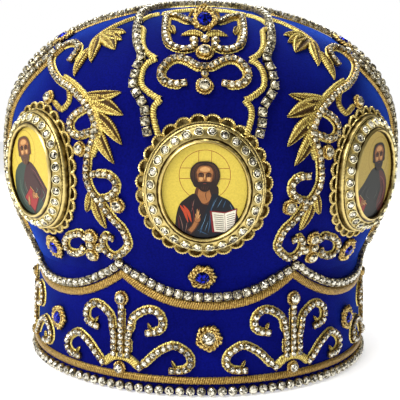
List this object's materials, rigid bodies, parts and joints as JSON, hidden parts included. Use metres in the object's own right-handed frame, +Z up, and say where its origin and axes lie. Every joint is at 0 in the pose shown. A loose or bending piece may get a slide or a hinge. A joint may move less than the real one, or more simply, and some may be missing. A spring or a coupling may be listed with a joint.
{
  "type": "bishop mitre",
  "caption": "Rounded liturgical mitre: blue velvet crown on a straight band, oval enamel medallions, cup-chain scrolls, gold cord and leaves, blue gem flowers, open below for the head.",
  "frame": {"origin": "middle of the rim, on the plane that the mitre rests on", "axes": "+Z up through the crown, the front medallion faces -Y, +X to the right as seen from the front"},
  "size_m": [0.229, 0.2436, 0.2064],
  "materials": {
    "velvet": "deep royal blue velvet, matt with a soft sheen",
    "crystal": "clear foiled rhinestone",
    "cup_metal": "thin bright cup setting",
    "gold_thread": "laid metallic gold thread with a satin gleam",
    "pale_gold": "polished pale gold plating",
    "picture_enamel": "printed enamel picture under clear gloss",
    "sapphire_glass": "cut blue glass"
  },
  "bodies": {
    "root": {"arm_chain_back": "crystal", "arm_chain_front": "crystal", "band_flower_back_left": "sapphire_glass", "band_flower_back_middle": "crystal", "band_flower_back_right": "sapphire_glass", "band_flower_front_left": "sapphire_glass", "band_flower_front_middle": "crystal", "band_flower_front_right": "sapphire_glass", "crown_shell": "velvet", "fleur_back_far_left": "crystal", "fleur_back_far_right": "crystal", "fleur_back_left": "crystal", "fleur_back_right": "crystal", "fleur_front_far_left": "crystal", "fleur_front_far_right": "crystal", "fleur_front_left": "crystal", "fleur_front_right": "crystal", "head_band": "velvet", "medallion_frame_back_left": "pale_gold", "medallion_frame_back_middle": "pale_gold", "medallion_frame_back_right": "pale_gold", "medallion_frame_front_left": "pale_gold", "medallion_frame_front_middle": "pale_gold", "medallion_frame_front_right": "pale_gold", "medallion_picture_back_left": "picture_enamel", "medallion_picture_back_middle": "picture_enamel", "medallion_picture_back_right": "picture_enamel", "medallion_picture_front_left": "picture_enamel", "medallion_picture_front_middle": "picture_enamel", "medallion_picture_front_right": "picture_enamel", "neck_gem_back_left": "sapphire_glass", "neck_gem_back_middle": "sapphire_glass", "neck_gem_back_right": "sapphire_glass", "neck_gem_front_left": "sapphire_glass", "neck_gem_front_middle": "sapphire_glass", "neck_gem_front_right": "sapphire_glass", "panel_cord_back": "gold_thread", "panel_cord_front": "gold_thread", "panel_scrolls_back": "crystal", "panel_scrolls_front": "crystal", "rim_chain": "crystal", "rim_cord": "gold_thread", "scallop_chain": "crystal", "scallop_cord": "gold_thread", "shoulder_gem_back_left": "sapphire_glass", "shoulder_gem_back_right": "sapphire_glass", "shoulder_gem_front_left": "sapphire_glass", "shoulder_gem_front_right": "sapphire_glass", "side_cord_back_left": "gold_thread", "side_cord_back_right": "gold_thread", "side_cord_front_left": "gold_thread", "side_cord_front_right": "gold_thread", "top_gem": "sapphire_glass", "vine_back_left": "crystal", "vine_back_right": "crystal", "vine_front_left": "crystal", "vine_front_right": "crystal"}
  },
  "joints": []
}
